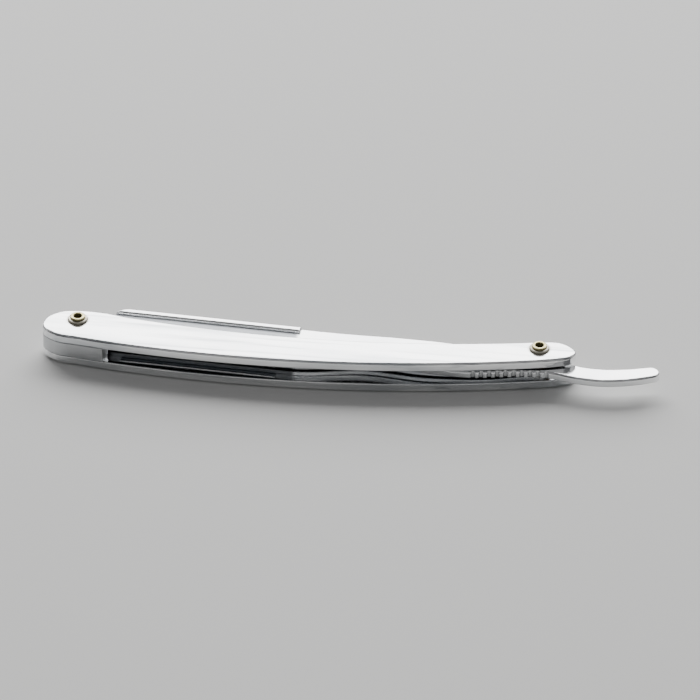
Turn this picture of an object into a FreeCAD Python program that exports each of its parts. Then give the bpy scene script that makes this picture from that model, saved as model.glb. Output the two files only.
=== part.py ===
"""A folding barber's razor with a replaceable half blade, shown folded and lying on its side.

Two steel scales, riveted at both ends, make the handle. The blade arm turns on the pivot rivet
between them. A thinner clamp arm turns on the same rivet and holds the half blade against
the underside of the blade arm's head.

Everything is drawn in millimetres round the pivot rivet: +X runs along the handle towards the
finger tail, +Y is the side where the spine of the folded blade head stands out of the handle,
and +Z is the axis of both rivets, with Z = 0 on the outer face of the rear scale. The finished
pieces are then moved by TO_FRAME, which puts the origin under the middle of the folded razor.
"""
import FreeCAD, Part
import math
import os

TO_FRAME = FreeCAD.Vector(44.59, 0.89, 0)

# The stack of layers along the rivet axis, from the rear scale up
SCALE_THICK = 2.2
GAP_BETWEEN_SCALES = 3.6
FRICTION_WASHER_THICK = 0.3
CLAMP_ARM_THICK = 1.05
ARM_WASHER_THICK = 0.15
BLADE_ARM_THICK = 1.72
BLADE_THICK = 0.1
FACE_PLAY = 0.03

GAP_BOTTOM = SCALE_THICK
GAP_TOP = GAP_BOTTOM + GAP_BETWEEN_SCALES
STACK_TOP = GAP_TOP + SCALE_THICK
CLAMP_BOTTOM = GAP_BOTTOM + FRICTION_WASHER_THICK + FACE_PLAY
CLAMP_TOP = CLAMP_BOTTOM + CLAMP_ARM_THICK
ARM_TOP = GAP_TOP - FRICTION_WASHER_THICK - FACE_PLAY
ARM_BOTTOM = ARM_TOP - BLADE_ARM_THICK

# Rivets, collars and washers
PIVOT_RIVET_AT = (0.0, 0.0)
TAIL_RIVET_AT = (-109.6, 0.55)
RIVET_RADIUS = 1.5
RIVET_BORE_RADIUS = 0.95
RIVET_HEAD_RADIUS = 1.8
RIVET_HEAD_HEIGHT = 0.55
COLLAR_RADIUS = 2.4
COLLAR_HEIGHT = 0.6
COLLAR_RIM = 0.18
COLLAR_SHOULDER_OUT = 0.66
COLLAR_SHOULDER_UP = 0.8
REAR_RECESS_PLAY = 0.05
REAR_RECESS_DEPTH = COLLAR_HEIGHT + RIVET_HEAD_HEIGHT + REAR_RECESS_PLAY
REAR_RECESS_RADIUS = COLLAR_RADIUS + 2 * REAR_RECESS_PLAY
TURNING_PLAY = 0.05
FRICTION_WASHER_RADIUS = 2.9
ARM_WASHER_RADIUS = 2.8

# Scales: the near edge is one bulging arc, the far edge one hollow arc
NEAR_EDGE = ((-100.0, -8.4), (-55.0, -11.05), (0.5, -4.95))
FAR_EDGE = ((0.5, 3.2), (-50.0, -1.2), (-97.0, 2.8))
PIVOT_END = ((4.6, 3.3), (7.3, 1.8), (8.7, -0.6), (7.5, -2.7), (4.4, -4.0))
TAIL_END = ((-103.0, 4.15), (-109.0, 4.65), (-114.3, 3.7), (-117.3, 0.6), (-117.4, -3.0), (-114.3, -5.8),
            (-108.5, -7.0))
SCALE_ROUNDING = 0.6
SCALE_RIM_ROUNDING = 0.2
SPACER_REACH = 102.9

# Blade head: drawn along its spine from the heel, U towards the toe and V towards the edge
HEEL = (-56.9, 6.05)
HEAD_TILT = math.radians(4.5)
HEAD_LENGTH = 44.8
HEAD_WIDTH = 12.7
TOE_SPINE_ROUNDING = 3.4
CLAMP_TOE_SPINE_ROUNDING = 2.3
TOE_EDGE_ROUNDING = 1.4
RAIL_WIDTH = 2.0
RAIL_TOP = ARM_TOP + 0.7
RAIL_BOTTOM = CLAMP_BOTTOM - 0.15
RAIL_ROUNDING = 0.6
LIP_PLAY = 0.15
CLAMP_HEAD_WIDTH = 12.9
CLAMP_END_PLAY = 0.3

# Blade arm: both edges of the shank, tang and tail, from the head to the tail's tip
ARM_BACK_EDGE = ((-44.0, 5.25), (-35.0, 5.05), (-26.0, 4.5), (-12.0, 3.3), (1.0, 2.75), (9.0, -2.2),
                 (14.0, -2.95), (20.0, -2.45))
TAIL_TIP = ((26.0, -1.0), (28.5, -2.9), (27.3, -4.9))
ARM_NEAR_EDGE = ((21.0, -7.1), (15.0, -8.0), (9.5, -7.5), (3.0, -6.0), (-5.0, -6.2), (-16.0, -7.6),
                 (-27.0, -6.7), (-40.0, -5.0))
ARM_ROUNDING = 0.5
GRIP_NOTCH_RADIUS = 0.55
GRIP_NOTCH_PITCH = 1.9
GRIP_NOTCH_COUNT = 10
GRIP_NOTCH_START = -15.0
GRIP_NOTCH_BITE = 0.45

# Clamp arm: the shank under the blade arm's shank, ending in a ring round the pivot
CLAMP_BACK_EDGE = ((-44.0, 4.6), (-35.0, 4.4), (-24.0, 3.7), (-10.0, 3.05), (0.0, 2.9))
CLAMP_NEAR_EDGE = ((0.0, -2.9), (-14.0, -5.6), (-27.0, -6.1), (-40.0, -4.7))
CLAMP_RING_SIDE = 2.9
CLAMP_ROUNDING = 0.25

# Pins that locate the half blade, and the stud that keeps the clamp arm against the blade arm
PIN_RADIUS = 1.2
PIN_U = {"heel_pin": 8.9, "toe_pin": 35.9}
PIN_V = 3.45
PIN_DEPTH_IN_ARM = 1.1
PIN_END_PLAY = 0.08
SLOT_PLAY = 0.12
SLOT_SWEEP = 6.0
STUD_AT = (-47.0, 2.5)
STUD_NECK_RADIUS = 1.0
STUD_HEAD_RADIUS = 1.8
STUD_HEAD_THICK = 0.45
STUD_HEAD_DROP = 0.08

# Half blade: half of a standard double-edged blade, split along its middle slot
BLADE_LENGTH = 43.0
BLADE_WIDTH = 11.0
BLADE_EDGE_LENGTH = 37.3
BLADE_TAB_WIDTH = 6.5
BLADE_BEVEL = 0.7
BLADE_SLOT_DEPTH = 0.75
BLADE_SLOT_LENGTH = 33.0
BLADE_NOTCH_PLAY = 0.05

# Cutting shapes run past the piece they cut by this much
CUT_MARGIN = 1.0
SAME_HEIGHT = 1e-4
HALVINGS = 40

UP = FreeCAD.Vector(0, 0, 1)
ORIGIN = FreeCAD.Vector(0, 0, 0)


def at(x, y, z=0.0):
    return FreeCAD.Vector(x, y, z)


def head_at(u, v, z=0.0):
    """A point of the blade head, u along its spine from the heel and v across it to the edge."""
    x = HEEL[0] - u * math.cos(HEAD_TILT) - v * math.sin(HEAD_TILT)
    y = HEEL[1] + u * math.sin(HEAD_TILT) - v * math.cos(HEAD_TILT)
    return at(x, y, z)


def arc(points):
    return Part.Arc(*[at(*point) for point in points])


def start_direction(curve):
    return curve.tangent(curve.FirstParameter)[0]


def end_direction(curve):
    return curve.tangent(curve.LastParameter)[0]


def smooth(points, start, end):
    """Cubic pieces through the points, leaving and arriving in the given directions.

    At each inner point the direction is that of the parabola through it and its neighbours.
    """
    directions = [start]
    for before, here, after in zip(points, points[1:], points[2:]):
        came = here - before
        goes = after - here
        direction = came * (goes.Length / came.Length) + goes * (came.Length / goes.Length)
        directions.append(direction.normalize())
    directions.append(end)
    pieces = []
    for index, (first, last) in enumerate(zip(points, points[1:])):
        reach = (last - first).Length / 3
        leaving = first + directions[index] * reach
        arriving = last - directions[index + 1] * reach
        piece = Part.BezierCurve()
        piece.setPoles([first, leaving, arriving, last])
        pieces.append(piece)
    return pieces


def slab(curves, bottom, top):
    """A plate between two heights whose outline is the closed run of curves."""
    edges = [curve.toShape() for curve in curves]
    outline = Part.Wire(Part.__sortEdges__(edges))
    face = Part.Face(outline)
    face.translate(at(0, 0, bottom))
    return face.extrude(at(0, 0, top - bottom))


def rounded(solid, radius, *heights):
    """The plate with the edges that lie wholly at the given heights rounded."""
    def lies_at(edge, height):
        box = edge.BoundBox
        return abs(box.ZMin - height) < SAME_HEIGHT and abs(box.ZMax - height) < SAME_HEIGHT

    edges = [edge for edge in solid.Edges if any(lies_at(edge, height) for height in heights)]
    return solid.makeFillet(radius, edges)


def rod(radius, bottom, top, x=0.0, y=0.0):
    return Part.makeCylinder(radius, top - bottom, at(x, y, bottom), UP)


def ring(outer, inner, bottom, top):
    return rod(outer, bottom, top).cut(rod(inner, bottom, top))


def turned(curves):
    """A solid turned about the pivot axis from a closed profile in the XZ plane."""
    profile = Part.Wire(Part.__sortEdges__([curve.toShape() for curve in curves]))
    return Part.Face(profile).revolve(ORIGIN, UP, 360)


def upside_down(solid):
    """The same piece on the other side of the handle's middle plane."""
    return solid.mirror(at(0, 0, STACK_TOP / 2), UP)


def on_rear(solid):
    """The same piece seated at the bottom of the rear scale's recess."""
    seated = upside_down(solid)
    seated.translate(at(0, 0, REAR_RECESS_DEPTH))
    return seated


def line(start, end):
    return Part.LineSegment(start, end)


def scale_outline():
    near = arc(NEAR_EDGE)
    far = arc(FAR_EDGE)
    pivot_end = smooth([at(*NEAR_EDGE[2])] + [at(*p) for p in reversed(PIVOT_END)] + [at(*FAR_EDGE[0])],
                       end_direction(near), start_direction(far))
    tail_end = smooth([at(*FAR_EDGE[2])] + [at(*p) for p in TAIL_END] + [at(*NEAR_EDGE[0])],
                      end_direction(far), start_direction(near))
    return [near, *pivot_end, far, *tail_end]


def make_scale():
    """A scale with its holes for both rivets, placed as the rear one."""
    scale = slab(scale_outline(), 0, SCALE_THICK)
    scale = rounded(scale, SCALE_ROUNDING, 0)
    scale = rounded(scale, SCALE_RIM_ROUNDING, SCALE_THICK)
    for place in (PIVOT_RIVET_AT, TAIL_RIVET_AT):
        scale = scale.cut(rod(RIVET_RADIUS, 0, SCALE_THICK, *place))
    return scale


def recessed(rear_scale):
    """The rear scale also has recesses that take its collars, so that the razor lies flat."""
    for place in (PIVOT_RIVET_AT, TAIL_RIVET_AT):
        rear_scale = rear_scale.cut(rod(REAR_RECESS_RADIUS, 0, REAR_RECESS_DEPTH, *place))
    return rear_scale


def make_tail_spacer():
    """Fills the gap at the closed end, up to just beyond the reach of the blade head's toe."""
    spacer = slab(scale_outline(), GAP_BOTTOM, GAP_TOP)
    spacer = spacer.cut(rod(SPACER_REACH, GAP_BOTTOM, GAP_TOP))
    return spacer.cut(rod(RIVET_RADIUS, GAP_BOTTOM, GAP_TOP, *TAIL_RIVET_AT))


def make_collar():
    """A domed collar on the front scale, with a seat for the rolled rivet head."""
    base = STACK_TOP
    dome_width = COLLAR_RADIUS - RIVET_HEAD_RADIUS
    rim = at(COLLAR_RADIUS, 0, base + COLLAR_RIM)
    seat = at(RIVET_HEAD_RADIUS, 0, base + COLLAR_HEIGHT)
    shoulder = at(RIVET_HEAD_RADIUS + dome_width * COLLAR_SHOULDER_OUT, 0,
                  base + COLLAR_HEIGHT * COLLAR_SHOULDER_UP)
    return turned([line(at(RIVET_RADIUS, 0, base), at(COLLAR_RADIUS, 0, base)),
                   line(at(COLLAR_RADIUS, 0, base), rim),
                   Part.Arc(rim, shoulder, seat),
                   line(seat, at(RIVET_RADIUS, 0, base + COLLAR_HEIGHT)),
                   line(at(RIVET_RADIUS, 0, base + COLLAR_HEIGHT), at(RIVET_RADIUS, 0, base))])


def make_rolled_head():
    """The rolled end of a hollow rivet, from the collar's seat to its flat crown."""
    seat = STACK_TOP + COLLAR_HEIGHT
    crown = seat + RIVET_HEAD_HEIGHT
    roll = (RIVET_HEAD_RADIUS - RIVET_BORE_RADIUS) / 3
    belly = crown - RIVET_HEAD_HEIGHT / 2
    flare = crown - roll
    corner = roll * (1 - math.sqrt(0.5))
    return turned([line(at(RIVET_BORE_RADIUS, 0, seat), at(RIVET_HEAD_RADIUS - roll / 2, 0, seat)),
                   Part.Arc(at(RIVET_HEAD_RADIUS - roll / 2, 0, seat), at(RIVET_HEAD_RADIUS, 0, belly),
                            at(RIVET_HEAD_RADIUS - roll, 0, crown)),
                   line(at(RIVET_HEAD_RADIUS - roll, 0, crown), at(RIVET_BORE_RADIUS + roll, 0, crown)),
                   Part.Arc(at(RIVET_BORE_RADIUS + roll, 0, crown),
                            at(RIVET_BORE_RADIUS + corner, 0, crown - corner),
                            at(RIVET_BORE_RADIUS, 0, flare)),
                   line(at(RIVET_BORE_RADIUS, 0, flare), at(RIVET_BORE_RADIUS, 0, seat))])


def make_rivet():
    """A hollow rivet through the whole stack, rolled over on a collar at each end."""
    bottom = REAR_RECESS_DEPTH - COLLAR_HEIGHT
    top = STACK_TOP + COLLAR_HEIGHT
    head = make_rolled_head()
    rivet = ring(RIVET_RADIUS, RIVET_BORE_RADIUS, bottom, top).fuse([head, on_rear(head)])
    return rivet.removeSplitter()


def moved_to(place, solid):
    moved = solid.copy()
    moved.translate(at(*place))
    return moved


def head_outline(first_u, last_u, first_v, last_v, spine_corner):
    """The plan of the blade head or of the clamp leaf, open at the heel."""
    edge_corner = TOE_EDGE_ROUNDING
    diagonal = 1 - math.sqrt(0.5)
    spine = line(head_at(first_u, first_v), head_at(last_u - spine_corner, first_v))
    spine_round = Part.Arc(head_at(last_u - spine_corner, first_v),
                           head_at(last_u - spine_corner * diagonal, first_v + spine_corner * diagonal),
                           head_at(last_u, first_v + spine_corner))
    toe = line(head_at(last_u, first_v + spine_corner), head_at(last_u, last_v - edge_corner))
    edge_round = Part.Arc(head_at(last_u, last_v - edge_corner),
                          head_at(last_u - edge_corner * diagonal, last_v - edge_corner * diagonal),
                          head_at(last_u - edge_corner, last_v))
    edge = line(head_at(last_u - edge_corner, last_v), head_at(first_u, last_v))
    return [spine, spine_round, toe, edge_round, edge]


def along_edge(pieces, x):
    """The point with the given x on an edge that runs from right to left."""
    piece = next(piece for piece in pieces if piece.EndPoint.x <= x)
    low, high = 0.0, 1.0
    for _ in range(HALVINGS):
        middle = (low + high) / 2
        if piece.value(middle).x > x:
            low = middle
        else:
            high = middle
    return piece.value(low)


def make_blade_arm():
    """Tail, tang, shank and head in one plate, with the spine rail standing above and below it."""
    head = head_outline(0, HEAD_LENGTH, 0, HEAD_WIDTH, TOE_SPINE_ROUNDING)
    tip = arc(TAIL_TIP)
    back = smooth([head_at(0, 0)] + [at(*p) for p in ARM_BACK_EDGE] + [at(*TAIL_TIP[0])],
                  start_direction(head[0]) * -1, start_direction(tip))
    near = smooth([at(*TAIL_TIP[2])] + [at(*p) for p in ARM_NEAR_EDGE] + [head_at(0, HEAD_WIDTH)],
                  end_direction(tip), start_direction(head[0]))
    arm = slab(head + back + [tip] + near, ARM_BOTTOM, ARM_TOP)
    arm = rounded(arm, ARM_ROUNDING, ARM_TOP)
    rail = slab(head + [line(head_at(0, HEAD_WIDTH), head_at(0, 0))], RAIL_BOTTOM, RAIL_TOP)
    before_heel = -CUT_MARGIN
    past_toe = HEAD_LENGTH + CUT_MARGIN
    past_edge = HEAD_WIDTH + CUT_MARGIN
    below_rail = [head_at(before_heel, RAIL_WIDTH), head_at(past_toe, RAIL_WIDTH),
                  head_at(past_toe, past_edge), head_at(before_heel, past_edge)]
    sides = [line(a, b) for a, b in zip(below_rail, below_rail[1:] + below_rail[:1])]
    rail = rail.cut(slab(sides, RAIL_BOTTOM, RAIL_TOP))
    rail = rounded(rail, RAIL_ROUNDING, RAIL_TOP)
    arm = arm.fuse(rail).removeSplitter()
    for index in range(GRIP_NOTCH_COUNT):
        edge_point = along_edge(near, GRIP_NOTCH_START + index * GRIP_NOTCH_PITCH)
        centre_y = edge_point.y - GRIP_NOTCH_RADIUS + GRIP_NOTCH_BITE
        arm = arm.cut(rod(GRIP_NOTCH_RADIUS, ARM_BOTTOM, ARM_TOP, edge_point.x, centre_y))
    arm = arm.cut(rod(RIVET_RADIUS + TURNING_PLAY, ARM_BOTTOM, ARM_TOP))
    for u in PIN_U.values():
        place = head_at(u, PIN_V)
        arm = arm.cut(rod(PIN_RADIUS, ARM_BOTTOM, ARM_BOTTOM + PIN_DEPTH_IN_ARM, place.x, place.y))
    return arm.cut(rod(STUD_NECK_RADIUS, ARM_BOTTOM, ARM_BOTTOM + PIN_DEPTH_IN_ARM, *STUD_AT))


def arc_slot(place, half_width, bottom, top):
    """A slot that starts round a pin and follows the pin's arc about the pivot to the spine side."""
    reach = place.Length
    height = top - bottom
    sector = Part.makeCylinder(reach + half_width, height, at(0, 0, bottom), UP, SLOT_SWEEP)
    sector = sector.cut(rod(reach - half_width, bottom, top))
    sector.rotate(ORIGIN, UP, math.degrees(math.atan2(place.y, place.x)) - SLOT_SWEEP)
    return sector.fuse(rod(half_width, bottom, top, place.x, place.y))


def make_clamp_arm():
    """The leaf that presses the half blade against the blade arm, slotted past the pins."""
    leaf = head_outline(CLAMP_END_PLAY, HEAD_LENGTH - CLAMP_END_PLAY, RAIL_WIDTH + LIP_PLAY,
                        CLAMP_HEAD_WIDTH, CLAMP_TOE_SPINE_ROUNDING)
    ring_end = Part.Arc(at(0, CLAMP_RING_SIDE), at(CLAMP_RING_SIDE, 0), at(0, -CLAMP_RING_SIDE))
    back = smooth([head_at(CLAMP_END_PLAY, RAIL_WIDTH + LIP_PLAY)] + [at(*p) for p in CLAMP_BACK_EDGE],
                  start_direction(leaf[0]) * -1, start_direction(ring_end))
    near = smooth([at(*p) for p in CLAMP_NEAR_EDGE] + [head_at(CLAMP_END_PLAY, CLAMP_HEAD_WIDTH)],
                  end_direction(ring_end), start_direction(leaf[0]))
    arm = slab(leaf + back + [ring_end] + near, CLAMP_BOTTOM, CLAMP_TOP)
    arm = rounded(arm, CLAMP_ROUNDING, CLAMP_BOTTOM)
    arm = arm.cut(rod(RIVET_RADIUS + TURNING_PLAY, CLAMP_BOTTOM, CLAMP_TOP))
    for u in PIN_U.values():
        arm = arm.cut(arc_slot(head_at(u, PIN_V), PIN_RADIUS + SLOT_PLAY, CLAMP_BOTTOM, CLAMP_TOP))
    recess_top = CLAMP_BOTTOM - STUD_HEAD_DROP + STUD_HEAD_THICK + FACE_PLAY
    arm = arm.cut(arc_slot(at(*STUD_AT), STUD_NECK_RADIUS + SLOT_PLAY, CLAMP_BOTTOM, CLAMP_TOP))
    return arm.cut(arc_slot(at(*STUD_AT), STUD_HEAD_RADIUS + SLOT_PLAY, CLAMP_BOTTOM, recess_top))


def make_pin(u):
    place = head_at(u, PIN_V)
    return rod(PIN_RADIUS, CLAMP_BOTTOM + PIN_END_PLAY, ARM_BOTTOM + PIN_DEPTH_IN_ARM, place.x, place.y)


def make_latch_stud():
    """The neck is riveted blind into the blade arm; the head runs in a recess of the clamp arm."""
    head_bottom = CLAMP_BOTTOM - STUD_HEAD_DROP
    head = rod(STUD_HEAD_RADIUS, head_bottom, head_bottom + STUD_HEAD_THICK, *STUD_AT)
    neck = rod(STUD_NECK_RADIUS, head_bottom, ARM_BOTTOM + PIN_DEPTH_IN_ARM, *STUD_AT)
    return head.fuse(neck).removeSplitter()


def make_razor_blade():
    """Half blade against the underside of the head, notched round the pins, edge ground both sides."""
    bottom = ARM_BOTTOM - BLADE_THICK
    heel_u = (HEAD_LENGTH - BLADE_LENGTH) / 2
    tab = (BLADE_LENGTH - BLADE_EDGE_LENGTH) / 2
    bevel_start = BLADE_WIDTH - BLADE_BEVEL
    corners = [(0, 0), (0, BLADE_TAB_WIDTH), (tab, BLADE_TAB_WIDTH), (tab, bevel_start),
               (BLADE_LENGTH - tab, bevel_start), (BLADE_LENGTH - tab, BLADE_TAB_WIDTH),
               (BLADE_LENGTH, BLADE_TAB_WIDTH), (BLADE_LENGTH, 0)]
    points = [head_at(heel_u + u, PIN_V + v) for u, v in corners]
    sides = [line(a, b) for a, b in zip(points, points[1:] + points[:1])]
    blade = slab(sides, bottom, ARM_BOTTOM)
    edge_u = heel_u + tab
    edge_v = PIN_V + bevel_start
    profile = Part.makePolygon([head_at(edge_u, edge_v, bottom), head_at(edge_u, edge_v, ARM_BOTTOM),
                                head_at(edge_u, PIN_V + BLADE_WIDTH, bottom + BLADE_THICK / 2),
                                head_at(edge_u, edge_v, bottom)])
    along = head_at(BLADE_EDGE_LENGTH, 0) - head_at(0, 0)
    blade = blade.fuse(Part.Face(profile).extrude(along))
    slot_u = heel_u + (BLADE_LENGTH - BLADE_SLOT_LENGTH) / 2
    slot_end = slot_u + BLADE_SLOT_LENGTH
    slot_floor = PIN_V + BLADE_SLOT_DEPTH
    slot_mouth = PIN_V - CUT_MARGIN
    slot_corners = [head_at(slot_u, slot_mouth), head_at(slot_u, slot_floor),
                    head_at(slot_end, slot_floor), head_at(slot_end, slot_mouth)]
    slot_sides = [line(a, b) for a, b in zip(slot_corners, slot_corners[1:] + slot_corners[:1])]
    blade = blade.cut(slab(slot_sides, bottom, ARM_BOTTOM))
    for u in (*PIN_U.values(), HEAD_LENGTH / 2):
        place = head_at(u, PIN_V)
        blade = blade.cut(rod(PIN_RADIUS + BLADE_NOTCH_PLAY, bottom, ARM_BOTTOM, place.x, place.y))
    return blade


def make_pieces():
    scale = make_scale()
    pieces = {
        "front_scale": upside_down(scale),
        "rear_scale": recessed(scale),
        "tail_spacer": make_tail_spacer(),
        "front_friction_washer": ring(FRICTION_WASHER_RADIUS, RIVET_RADIUS,
                                      GAP_TOP - FRICTION_WASHER_THICK, GAP_TOP),
        "rear_friction_washer": ring(FRICTION_WASHER_RADIUS, RIVET_RADIUS,
                                     GAP_BOTTOM, GAP_BOTTOM + FRICTION_WASHER_THICK),
        "blade_arm": make_blade_arm(),
        "arm_washer": ring(ARM_WASHER_RADIUS, RIVET_RADIUS + TURNING_PLAY,
                           ARM_BOTTOM - ARM_WASHER_THICK, ARM_BOTTOM),
        "latch_stud": make_latch_stud(),
        "razor_blade": make_razor_blade(),
        "clamp_arm": make_clamp_arm(),
    }
    rivet = make_rivet()
    collar = make_collar()
    for end, place in (("tail", TAIL_RIVET_AT), ("pivot", PIVOT_RIVET_AT)):
        pieces[f"{end}_rivet"] = moved_to(place, rivet)
        pieces[f"front_{end}_collar"] = moved_to(place, collar)
        pieces[f"rear_{end}_collar"] = moved_to(place, on_rear(collar))
    for name, u in PIN_U.items():
        pieces[name] = make_pin(u)
    return pieces


os.makedirs("parts", exist_ok=True)
finished = make_pieces()
for name, solid in finished.items():
    solid.translate(TO_FRAME)
    solid.exportStep(f"parts/{name}.step")
whole = Part.makeCompound(list(finished.values())).optimalBoundingBox()
print("pivot axis at", TO_FRAME, "whole box", whole)
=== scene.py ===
"""A folded barber's razor on a pale table: the finishes of its steel and brass, the light, the camera.

Every piece is a CAD node with its true shape, so this script only gives each its finish. Lengths
are in metres, except the camera's lens and sensor, which are in millimetres. The razor lies on
z = 0 with its handle along x.
"""
import bpy
import math
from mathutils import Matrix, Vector


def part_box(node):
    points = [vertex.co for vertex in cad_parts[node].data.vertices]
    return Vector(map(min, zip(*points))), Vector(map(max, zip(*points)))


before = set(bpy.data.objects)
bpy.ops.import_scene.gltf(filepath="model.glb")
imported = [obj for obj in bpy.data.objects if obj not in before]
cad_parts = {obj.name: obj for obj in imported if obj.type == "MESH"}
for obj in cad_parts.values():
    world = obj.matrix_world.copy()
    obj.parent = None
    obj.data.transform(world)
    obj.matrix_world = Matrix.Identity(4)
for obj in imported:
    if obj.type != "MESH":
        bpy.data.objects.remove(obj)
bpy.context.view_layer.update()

MM = 0.001

# The camera stands in front of the razor, a little to the right, and looks down at 34 degrees
CAMERA_AT = (0.12844, -1.19176, 0.82419)
AIM_AT = (-0.00008, 0.0, 0.005)
LENS = 316.7
SENSOR = 36.0
NEAREST_SEEN = 0.01
FARTHEST_SEEN = 20.0

FLOOR_SIZE = 8.0
FLOOR_DROP = 0.2 * MM
FLOOR_COLOUR = (0.80, 0.80, 0.79, 1.0)
FLOOR_ROUGHNESS = 0.85

# Name, place, width and height, power in watts; each lamp faces the razor
LAMPS = (
    ("back_softbox", (-0.13, 1.23, 0.86), (2.2, 1.15), 48.0),
    ("left_softbox", (-1.5, 0.1, 0.7), (1.0, 0.9), 1.2),
    ("right_softbox", (1.6, 0.3, 0.7), (0.9, 0.8), 1.2),
    ("front_fill", (0.2, -1.7, 1.2), (2.0, 1.2), 1.6),
)
SKY_AT_HORIZON = (0.06, 0.06, 0.061, 1.0)
SKY_OVERHEAD = (0.20, 0.20, 0.203, 1.0)

UP = (0.0, 0.0, 1.0)
ALONG_HANDLE = (1.0, 0.0, 0.0)
RIVETS = ("pivot_rivet", "tail_rivet")
PIVOT_RIVET = ("pivot_rivet",)
RIVET_BORE_RADIUS = 0.95 * MM
RIVET_HEAD_RADIUS = 1.8 * MM
COLLAR_RADIUS = 2.4 * MM
PIVOT_WEAR_RADIUS = 4.0 * MM
GRIME_REACH = 0.7 * MM
HEAD_TILT = math.radians(4.5)
BLADE_BEVEL = 0.7 * MM
BEVEL_BLUR = 0.05 * MM

# The satin grinding, and the shade painted on the head plate with it, run past the blade's heel end by
# this share of the blade's length
HEEL_BEYOND_BLADE = 0.03
HEEL_FADE = 1.5 * MM
HEAD_PLATE_TOP = 5.47 * MM

# Where a finish fades: above the head plate, where the satin and the shade painted on it end, below a
# rivet's crown, outside its bore, and on a collar outside the rivet's head and inside the rim
PLATE_FADE_START = 0.05 * MM
PLATE_FADE_END = 0.25 * MM
CROWN_FADE_START = 0.35 * MM
CROWN_FADE_END = 0.05 * MM
BORE_FADE_START = 0.02 * MM
BORE_FADE_END = 0.22 * MM
UNDER_HEAD_REACH = 0.25 * MM
RIM_REACH = 0.2 * MM

EDGE_BUFFING = 0.3 * MM
EDGE_SAMPLES = 8
WIPE_TURN = -0.03
BUFFING_TURN = 0.02
COLLAR_TURNING_PITCH = 0.14 * MM
WASHER_RUBBING_PITCH = 0.35 * MM
PIN_TURNING_PITCH = 0.1 * MM
SCRATCH_LENGTH = 3.0 * MM
SCRATCH_BREAKS = (0.52, 0.60)

# Spacing, width, turn and stretch of each layer of scratches
SCALE_SCRATCHES = ((6.0 * MM, 0.035 * MM, 0.35, 6.0), (8.0 * MM, 0.03 * MM, -0.5, 5.0))
ARM_SCRATCHES = ((5.0 * MM, 0.04 * MM, 0.8, 5.0),)

POLISHED_STEEL = (0.93, 0.935, 0.94)
HAZY_STEEL = (0.66, 0.68, 0.70)
WIPED_STEEL = (0.42, 0.44, 0.46)
SCRATCHED_STEEL = (0.50, 0.52, 0.54)
GRIMY_STEEL = (0.36, 0.33, 0.27)
SPACER_LIGHT = (0.62, 0.63, 0.64)
SPACER_DARK = (0.44, 0.45, 0.46)
ARM_POLISHED = (0.90, 0.905, 0.91)
ARM_WORN = (0.74, 0.755, 0.77)
ARM_SCRATCHED = (0.58, 0.60, 0.62)
ARM_DULLED = (0.40, 0.38, 0.34)
# Satin head plate: these colours are painted dark, as the shade and dim reflection on the plate below the
# rail
SATIN_PAINTED_SHADE_LIGHT = (0.32, 0.33, 0.345)
SATIN_PAINTED_SHADE_DARK = (0.20, 0.21, 0.225)
BRASS = (0.56, 0.50, 0.26)
BRASS_TARNISHED = (0.34, 0.31, 0.16)
BRASS_RUBBED = (0.66, 0.60, 0.36)
BORE_DIRT = (0.30, 0.27, 0.14)
COLLAR_BRASS = (0.78, 0.74, 0.64)
COLLAR_TARNISHED = (0.58, 0.55, 0.46)
COLLAR_GRIME = (0.20, 0.18, 0.12)
BRONZE_LIGHT = (0.70, 0.50, 0.28)
BRONZE_DARK = (0.42, 0.29, 0.16)
PIN_LIGHT = (0.70, 0.71, 0.72)
PIN_DARK = (0.50, 0.51, 0.53)
BLADE_LIGHT = (0.52, 0.56, 0.62)
BLADE_DARK = (0.40, 0.44, 0.50)
BLADE_EDGE = (0.90, 0.91, 0.92)

MIRROR_STEEL_PIECES = ("front_scale", "rear_scale")
SPACER_PIECES = ("tail_spacer",)
ARM_PIECES = ("blade_arm", "clamp_arm")
COLLAR_PIECES = ("front_pivot_collar", "rear_pivot_collar", "front_tail_collar", "rear_tail_collar")
WASHER_PIECES = ("front_friction_washer", "rear_friction_washer", "arm_washer")
PIN_PIECES = ("latch_stud", "heel_pin", "toe_pin")
BLADE_PIECES = ("razor_blade",)


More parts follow.
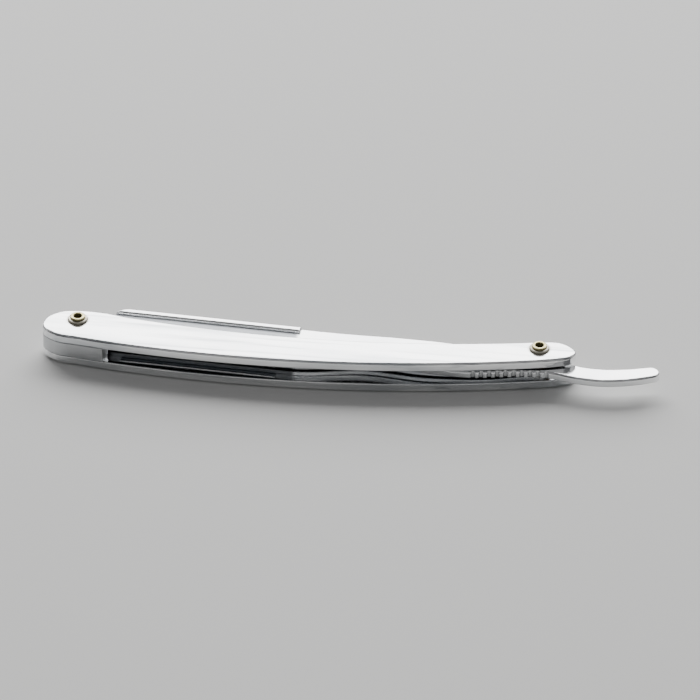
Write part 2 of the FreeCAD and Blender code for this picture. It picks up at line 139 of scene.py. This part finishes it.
class Finish:
    """A finish: one principled shader, and the nodes that vary it over the piece."""

    def __init__(self, name, metallic=1.0):
        self.material = bpy.data.materials.new(name)
        self.material.use_nodes = True
        self.tree = self.material.node_tree
        self.shader = self.tree.nodes["Principled BSDF"]
        self.shader.inputs["Metallic"].default_value = metallic
        self.place = self.add("ShaderNodeTexCoord").outputs["Object"]

    def add(self, kind, **settings):
        made = self.tree.nodes.new(kind)
        for name, value in settings.items():
            setattr(made, name, value)
        return made

    def join(self, source, socket):
        """Feeds a socket from another node's output, or sets it to a plain value."""
        if isinstance(source, bpy.types.NodeSocket):
            self.tree.links.new(source, socket)
        else:
            socket.default_value = source

    def math(self, operation, first, second=0.0):
        made = self.add("ShaderNodeMath", operation=operation)
        self.join(first, made.inputs[0])
        self.join(second, made.inputs[1])
        return made.outputs[0]

    def vector_math(self, operation, first, second):
        made = self.add("ShaderNodeVectorMath", operation=operation)
        self.join(first, made.inputs[0])
        self.join(second, made.inputs[1])
        return made.outputs["Value"] if operation in ("LENGTH", "DOT_PRODUCT") else made.outputs["Vector"]

    def laid_along(self, turn=0.0, stretch=1.0):
        """Coordinates turned about z, and stretched along the turned x so that marks run that way."""
        mapping = self.add("ShaderNodeMapping", vector_type="TEXTURE")
        mapping.inputs["Rotation"].default_value = (0.0, 0.0, turn)
        mapping.inputs["Scale"].default_value = (stretch, 1.0, 1.0)
        self.join(self.place, mapping.inputs["Vector"])
        return mapping.outputs["Vector"]

    def noise(self, size, detail=3.0, turn=0.0, stretch=1.0):
        """Cloudy marks of about the given size, from 0 to 1."""
        made = self.add("ShaderNodeTexNoise")
        made.inputs["Scale"].default_value = 1.0 / size
        made.inputs["Detail"].default_value = detail
        self.join(self.laid_along(turn, stretch), made.inputs["Vector"])
        return made.outputs["Fac"]

    def hairlines(self, spacing, width, turn, stretch):
        """Thin long scratches: 1 on a scratch, 0 between them."""
        made = self.add("ShaderNodeTexVoronoi", feature="DISTANCE_TO_EDGE")
        made.inputs["Scale"].default_value = 1.0 / spacing
        self.join(self.laid_along(turn, stretch), made.inputs["Vector"])
        return self.fall(made.outputs["Distance"], 0.0, width / spacing)

    def scratches(self, layers):
        """Scratches broken into short stretches; each layer has its own spacing, width, turn, stretch."""
        lines = 0.0
        for layer in layers:
            lines = self.math("MAXIMUM", lines, self.hairlines(*layer))
        lengths = self.rise(self.noise(SCRATCH_LENGTH, detail=2.0), *SCRATCH_BREAKS)
        return self.math("MULTIPLY", lines, lengths)

    def rings(self, distance, pitch):
        """Even tool marks, from -1 to 1, that repeat at the pitch."""
        return self.math("SINE", self.math("MULTIPLY", distance, math.tau / pitch))

    def reach_along(self, direction):
        """How far a point lies in the given direction."""
        return self.vector_math("DOT_PRODUCT", self.place, direction)

    def fade(self, source, start, end, at_start, at_end):
        """Maps start..end on to at_start..at_end, and holds it outside."""
        made = self.add("ShaderNodeMapRange", interpolation_type="SMOOTHSTEP")
        self.join(source, made.inputs["Value"])
        for socket, value in (("From Min", start), ("From Max", end),
                              ("To Min", at_start), ("To Max", at_end)):
            made.inputs[socket].default_value = value
        return made.outputs["Result"]

    def rise(self, source, start, end):
        """Goes from 0 to 1 between start and end."""
        return self.fade(source, start, end, 0.0, 1.0)

    def fall(self, source, start, end):
        """Goes from 1 to 0 between start and end."""
        return self.fade(source, start, end, 1.0, 0.0)

    def weakened(self, pattern, share):
        """The pattern at only a share of its strength."""
        return self.math("MULTIPLY", pattern, share)

    def tint(self, amount, colour, other):
        """Goes from one colour to another as the amount goes from 0 to 1."""
        made = self.add("ShaderNodeMix", data_type="RGBA")
        self.join(amount, made.inputs["Factor"])
        for name, value in (("A", colour), ("B", other)):
            socket = next(s for s in made.inputs if s.name == name and s.type == "RGBA")
            self.join(value if isinstance(value, bpy.types.NodeSocket) else (*value, 1.0), socket)
        return next(s for s in made.outputs if s.type == "RGBA")

    def from_rivet_axis(self, rivets=RIVETS):
        """Distance from the axis of the nearest of the given rivets."""
        nearest = None
        for name in rivets:
            low, high = (Vector(corner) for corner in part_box(name))
            centre = (low + high) / 2
            offset = self.vector_math("SUBTRACT", self.place, tuple(centre))
            flat = self.vector_math("MULTIPLY", offset, (1.0, 1.0, 0.0))
            distance = self.vector_math("LENGTH", flat, (0.0, 0.0, 0.0))
            nearest = distance if nearest is None else self.math("MINIMUM", nearest, distance)
        return nearest

    def bump(self, *layers):
        """Buffs the edges over, then adds up height layers, each a pattern and its depth."""
        buffed = self.add("ShaderNodeBevel", samples=EDGE_SAMPLES)
        buffed.inputs["Radius"].default_value = EDGE_BUFFING
        normal = buffed.outputs["Normal"]
        for height, depth in layers:
            made = self.add("ShaderNodeBump")
            made.inputs["Strength"].default_value = 1.0
            made.inputs["Distance"].default_value = depth
            self.join(height, made.inputs["Height"])
            self.join(normal, made.inputs["Normal"])
            normal = made.outputs["Normal"]
        self.join(normal, self.shader.inputs["Normal"])

    def set(self, socket, source):
        self.join(source, self.shader.inputs[socket])

    def put_on(self, pieces):
        for piece in pieces:
            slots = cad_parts[piece].data.materials
            slots.clear()
            slots.append(self.material)


def make_mirror_steel():
    """Scales: stainless steel polished to a mirror, with long hazy wipe marks and short hairlines."""
    steel = Finish("mirror_steel")
    haze = steel.noise(5.0 * MM, detail=5.0, turn=WIPE_TURN, stretch=9.0)
    streaks = steel.noise(1.3 * MM, detail=4.0, turn=WIPE_TURN, stretch=26.0)
    buffing = steel.noise(0.22 * MM, detail=2.0, turn=BUFFING_TURN, stretch=40.0)
    waviness = steel.noise(30.0 * MM, detail=1.0)
    scratches = steel.scratches(SCALE_SCRATCHES)
    collar_grime = steel.fall(steel.from_rivet_axis(), COLLAR_RADIUS, COLLAR_RADIUS + GRIME_REACH)

    hazy = steel.tint(steel.rise(haze, 0.42, 0.70), POLISHED_STEEL, HAZY_STEEL)
    wiped = steel.tint(steel.fade(streaks, 0.50, 0.74, 0.0, 0.75), hazy, WIPED_STEEL)
    scratched = steel.tint(steel.weakened(scratches, 0.35), wiped, SCRATCHED_STEEL)
    steel.set("Base Color", steel.tint(steel.weakened(collar_grime, 0.55), scratched, GRIMY_STEEL))
    roughness = steel.fade(streaks, 0.42, 0.78, 0.05, 0.16)
    roughness = steel.math("ADD", roughness, steel.weakened(scratches, 0.12))
    steel.set("Roughness", steel.math("ADD", roughness, steel.weakened(collar_grime, 0.22)))
    steel.bump((waviness, 0.03 * MM), (buffing, 0.0005 * MM), (scratches, -0.0003 * MM))
    return steel


def make_spacer_steel():
    """Tail spacer: the same steel, ground along its edge and less finely buffed than the scales."""
    steel = Finish("spacer_steel")
    grinding = steel.noise(0.3 * MM, detail=2.0, stretch=30.0)
    haze = steel.noise(5.0 * MM, detail=4.0)
    steel.set("Base Color", steel.tint(haze, SPACER_LIGHT, SPACER_DARK))
    steel.set("Roughness", steel.fade(grinding, 0.3, 0.7, 0.30, 0.42))
    steel.bump((grinding, 0.0015 * MM))
    return steel


def make_arm_steel():
    """Blade arm and clamp arm: polished plate with its lengthwise grinding, and a satin blade head whose
    colour is painted dark as shade.
    """
    steel = Finish("arm_steel")
    blade_low, blade_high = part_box("razor_blade")
    heel = blade_high[0] + (blade_high[0] - blade_low[0]) * HEEL_BEYOND_BLADE
    on_head = steel.fall(steel.reach_along(ALONG_HANDLE), heel - HEEL_FADE, heel)
    on_plate = steel.fall(steel.reach_along(UP),
                          HEAD_PLATE_TOP + PLATE_FADE_START, HEAD_PLATE_TOP + PLATE_FADE_END)
    # The head plate below the rail: satin roughness, and painted shade in its colour
    satin = steel.math("MULTIPLY", on_head, on_plate)
    grinding = steel.noise(0.25 * MM, detail=3.0, turn=-HEAD_TILT / 2, stretch=45.0)
    worn = steel.noise(6.0 * MM, detail=5.0, stretch=3.0)
    scratches = steel.scratches(ARM_SCRATCHES)
    pivot_wear = steel.fall(steel.from_rivet_axis(PIVOT_RIVET), COLLAR_RADIUS, PIVOT_WEAR_RADIUS)

    polished = steel.tint(steel.rise(worn, 0.35, 0.75), ARM_POLISHED, ARM_WORN)
    # Painted shade: the satin head plate is coloured dark for the shade that lies below the rail
    ground = steel.tint(grinding, SATIN_PAINTED_SHADE_LIGHT, SATIN_PAINTED_SHADE_DARK)
    plate = steel.tint(satin, polished, ground)
    scratched = steel.tint(steel.weakened(scratches, 0.3), plate, ARM_SCRATCHED)
    steel.set("Base Color", steel.tint(steel.weakened(pivot_wear, 0.5), scratched, ARM_DULLED))
    roughness = steel.fade(grinding, 0.3, 0.7, 0.09, 0.19)
    roughness = steel.math("ADD", roughness, steel.weakened(satin, 0.24))
    steel.set("Roughness", steel.math("ADD", roughness, steel.weakened(pivot_wear, 0.15)))
    steel.bump((worn, 0.001 * MM), (grinding, 0.0006 * MM), (scratches, -0.0005 * MM))
    return steel


def make_rivet_brass():
    """Hollow rivets: tarnished brass, rubbed bright on the crown, with a dark dirty bore."""
    brass = Finish("rivet_brass")
    low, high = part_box("pivot_rivet")
    blotches = brass.noise(0.8 * MM, detail=5.0)
    pits = brass.noise(0.16 * MM, detail=3.0)
    middle = (low[2] + high[2]) / 2
    reach = (high[2] - low[2]) / 2
    from_middle = brass.math("ABSOLUTE", brass.math("SUBTRACT", brass.reach_along(UP), middle))
    crown = brass.rise(from_middle, reach - CROWN_FADE_START, reach - CROWN_FADE_END)
    axis = brass.from_rivet_axis()
    bore = brass.fall(axis, RIVET_BORE_RADIUS + BORE_FADE_START, RIVET_BORE_RADIUS + BORE_FADE_END)

    metal = brass.tint(brass.rise(blotches, 0.35, 0.7), BRASS, BRASS_TARNISHED)
    rubbed = brass.tint(brass.weakened(crown, 0.35), metal, BRASS_RUBBED)
    brass.set("Base Color", brass.tint(bore, rubbed, BORE_DIRT))
    roughness = brass.fade(blotches, 0.3, 0.7, 0.22, 0.42)
    brass.set("Roughness", brass.math("ADD", roughness, brass.weakened(bore, 0.35)))
    brass.bump((blotches, 0.01 * MM), (pits, 0.004 * MM))
    return brass


def make_collar_brass():
    """Domed collars: pale nickel-brass with turning rings, greyed where fingers don't reach."""
    brass = Finish("collar_brass")
    axis = brass.from_rivet_axis()
    rings = brass.rings(axis, COLLAR_TURNING_PITCH)
    blotches = brass.noise(0.9 * MM, detail=5.0)
    under_head = brass.fall(axis, RIVET_HEAD_RADIUS, RIVET_HEAD_RADIUS + UNDER_HEAD_REACH)
    at_rim = brass.rise(axis, COLLAR_RADIUS - RIM_REACH, COLLAR_RADIUS)

    metal = brass.tint(brass.rise(blotches, 0.35, 0.72), COLLAR_BRASS, COLLAR_TARNISHED)
    grimy = brass.math("MAXIMUM", under_head, at_rim)
    brass.set("Base Color", brass.tint(brass.weakened(grimy, 0.6), metal, COLLAR_GRIME))
    brass.set("Roughness", brass.fade(blotches, 0.3, 0.7, 0.42, 0.56))
    brass.bump((rings, 0.0004 * MM), (blotches, 0.006 * MM))
    return brass


def make_washer_bronze():
    """Washers: plain bronze, polished in rings where the arms rub on it."""
    bronze = Finish("washer_bronze")
    rubbed = bronze.rings(bronze.from_rivet_axis(PIVOT_RIVET), WASHER_RUBBING_PITCH)
    blotches = bronze.noise(0.7 * MM, detail=4.0)
    bronze.set("Base Color", bronze.tint(blotches, BRONZE_LIGHT, BRONZE_DARK))
    bronze.set("Roughness", bronze.fade(rubbed, -1.0, 1.0, 0.25, 0.45))
    bronze.bump((rubbed, 0.002 * MM))
    return bronze


def make_pin_steel():
    """Pins and latch stud: turned steel with fine tool marks round it."""
    steel = Finish("pin_steel")
    tool_marks = steel.rings(steel.reach_along(UP), PIN_TURNING_PITCH)
    blotches = steel.noise(0.8 * MM, detail=4.0)
    steel.set("Base Color", steel.tint(blotches, PIN_LIGHT, PIN_DARK))
    steel.set("Roughness", steel.fade(blotches, 0.3, 0.7, 0.22, 0.36))
    steel.bump((tool_marks, 0.0012 * MM))
    return steel


def make_blade_steel():
    """Half blade: grey-blue strip steel with rolling lines, and a bright band ground along the edge."""
    steel = Finish("blade_steel")
    towards_edge = Vector((-math.sin(HEAD_TILT), -math.cos(HEAD_TILT), 0.0))
    edge_reach = max(vertex.co.dot(towards_edge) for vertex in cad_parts["razor_blade"].data.vertices)
    across = steel.reach_along(tuple(towards_edge))
    bevel_start = edge_reach - BLADE_BEVEL
    ground = steel.rise(across, bevel_start - BEVEL_BLUR, bevel_start + BEVEL_BLUR)
    rolling = steel.noise(0.2 * MM, detail=2.0, turn=-HEAD_TILT, stretch=60.0)
    grinding = steel.noise(0.06 * MM, detail=1.0, turn=math.pi / 2 - HEAD_TILT, stretch=12.0)

    strip = steel.tint(rolling, BLADE_LIGHT, BLADE_DARK)
    steel.set("Base Color", steel.tint(ground, strip, BLADE_EDGE))
    satin = steel.fade(rolling, 0.3, 0.7, 0.26, 0.38)
    steel.set("Roughness", steel.math("SUBTRACT", satin, steel.weakened(ground, 0.14)))
    steel.bump((rolling, 0.001 * MM), (grinding, 0.0004 * MM))
    return steel


def dress_razor():
    make_mirror_steel().put_on(MIRROR_STEEL_PIECES)
    make_spacer_steel().put_on(SPACER_PIECES)
    make_arm_steel().put_on(ARM_PIECES)
    make_rivet_brass().put_on(RIVETS)
    make_collar_brass().put_on(COLLAR_PIECES)
    make_washer_bronze().put_on(WASHER_PIECES)
    make_pin_steel().put_on(PIN_PIECES)
    make_blade_steel().put_on(BLADE_PIECES)


def aim(thing, place, target):
    thing.location = place
    thing.rotation_mode = "QUATERNION"
    thing.rotation_quaternion = (Vector(target) - Vector(place)).to_track_quat("-Z", "Y")


def make_camera():
    camera = bpy.data.objects.new("camera", bpy.data.cameras.new("camera"))
    bpy.context.scene.collection.objects.link(camera)
    aim(camera, CAMERA_AT, AIM_AT)
    camera.data.lens = LENS
    camera.data.sensor_width = SENSOR
    camera.data.clip_start = NEAREST_SEEN
    camera.data.clip_end = FARTHEST_SEEN
    bpy.context.scene.camera = camera


def make_floor():
    bpy.ops.mesh.primitive_plane_add(size=FLOOR_SIZE, location=(0.0, 0.0, -FLOOR_DROP))
    floor = bpy.context.object
    floor.name = "floor"
    paper = Finish("pale_floor", metallic=0.0)
    paper.set("Base Color", FLOOR_COLOUR)
    paper.set("Roughness", FLOOR_ROUGHNESS)
    floor.data.materials.append(paper.material)


def make_lamps():
    for name, place, (width, height), power in LAMPS:
        data = bpy.data.lights.new(name, "AREA")
        data.shape = "RECTANGLE"
        data.size = width
        data.size_y = height
        data.energy = power
        lamp = bpy.data.objects.new(name, data)
        bpy.context.scene.collection.objects.link(lamp)
        aim(lamp, place, (0.0, 0.0, 0.0))


def make_sky():
    """A dim even sky that grows a little lighter overhead."""
    world = bpy.data.worlds.new("studio")
    world.use_nodes = True
    tree = world.node_tree
    background = tree.nodes["Background"]
    direction = tree.nodes.new("ShaderNodeTexCoord")
    separate = tree.nodes.new("ShaderNodeSeparateXYZ")
    tree.links.new(direction.outputs["Generated"], separate.inputs[0])
    mix = tree.nodes.new("ShaderNodeMix")
    mix.data_type = "RGBA"
    tree.links.new(separate.outputs["Z"], mix.inputs["Factor"])
    colours = [socket for socket in mix.inputs if socket.type == "RGBA"]
    colours[0].default_value = SKY_AT_HORIZON
    colours[1].default_value = SKY_OVERHEAD
    result = next(socket for socket in mix.outputs if socket.type == "RGBA")
    tree.links.new(result, background.inputs["Color"])
    bpy.context.scene.world = world


make_camera()
make_floor()
make_lamps()
make_sky()
dress_razor()
